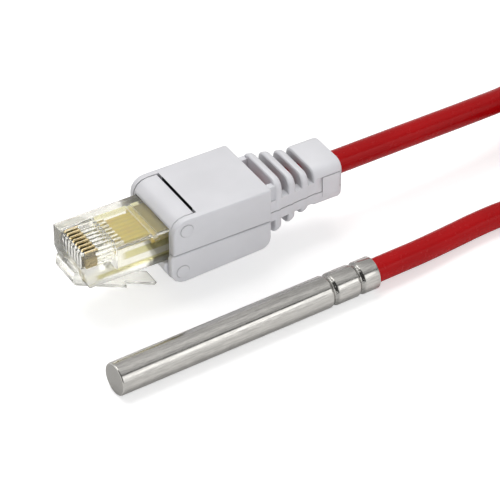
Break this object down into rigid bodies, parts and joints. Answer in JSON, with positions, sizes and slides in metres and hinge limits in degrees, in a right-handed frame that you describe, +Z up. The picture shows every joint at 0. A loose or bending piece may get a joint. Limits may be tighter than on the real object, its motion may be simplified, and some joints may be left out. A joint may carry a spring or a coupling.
{
  "type": "temperature sensor",
  "caption": "Steel-sleeved temperature probe on a red round cable that ends in a clear and white tool-less modular plug.",
  "frame": {"origin": "on the surface that the probe lies on, under the middle of the steel sleeve", "axes": "+X along the sleeve from its closed tip to its mouth, +Z up"},
  "size_m": [0.2025, 0.0419, 0.017],
  "materials": {
    "stainless_steel": "drawn stainless tube with a fine lengthwise grain",
    "red_jacket": "smooth satin red cable jacket",
    "black_epoxy": "moulded black epoxy",
    "tinned_copper": "bright tin",
    "shrink_tube": "matte black shrink tube",
    "strap_cloth": "black hook and loop cloth",
    "clear_plastic": "clear moulded polycarbonate",
    "gold_plate": "gold plate",
    "yellow_board": "yellow glass-filled resin board",
    "white_plastic": "white moulded nylon, fine satin",
    "wire_red": "red wire insulation",
    "wire_yellow": "yellow wire insulation",
    "wire_black": "black wire insulation"
  },
  "bodies": {
    "root": {"probe_sleeve": "stainless_steel", "sensor_chip": "black_epoxy", "sensor_leg_power": "tinned_copper", "sensor_shrink_power": "shrink_tube", "sensor_leg_signal": "tinned_copper", "sensor_shrink_signal": "shrink_tube", "sensor_leg_ground": "tinned_copper", "sensor_shrink_ground": "shrink_tube", "sensor_wire_power": "wire_red", "plug_wire_power": "wire_red", "sensor_wire_signal": "wire_yellow", "plug_wire_signal": "wire_yellow", "sensor_wire_ground": "wire_black", "plug_wire_ground": "wire_black", "cable_probe_end": "red_jacket", "cable_plug_end": "red_jacket", "cable_hank": "red_jacket", "hank_strap_1": "strap_cloth", "hank_strap_2": "strap_cloth", "plug_body": "clear_plastic", "contact_1": "gold_plate", "contact_2": "gold_plate", "contact_3": "gold_plate", "contact_4": "gold_plate", "contact_5": "gold_plate", "contact_6": "gold_plate", "contact_7": "gold_plate", "contact_8": "gold_plate", "contact_board": "yellow_board", "plug_carrier": "white_plastic", "terminal_1": "tinned_copper", "terminal_2": "tinned_copper", "terminal_3": "tinned_copper", "terminal_4": "tinned_copper", "terminal_5": "tinned_copper", "terminal_6": "tinned_copper", "terminal_7": "tinned_copper", "terminal_8": "tinned_copper", "shell_upper": "white_plastic", "shell_lower": "white_plastic"}
  },
  "joints": []
}
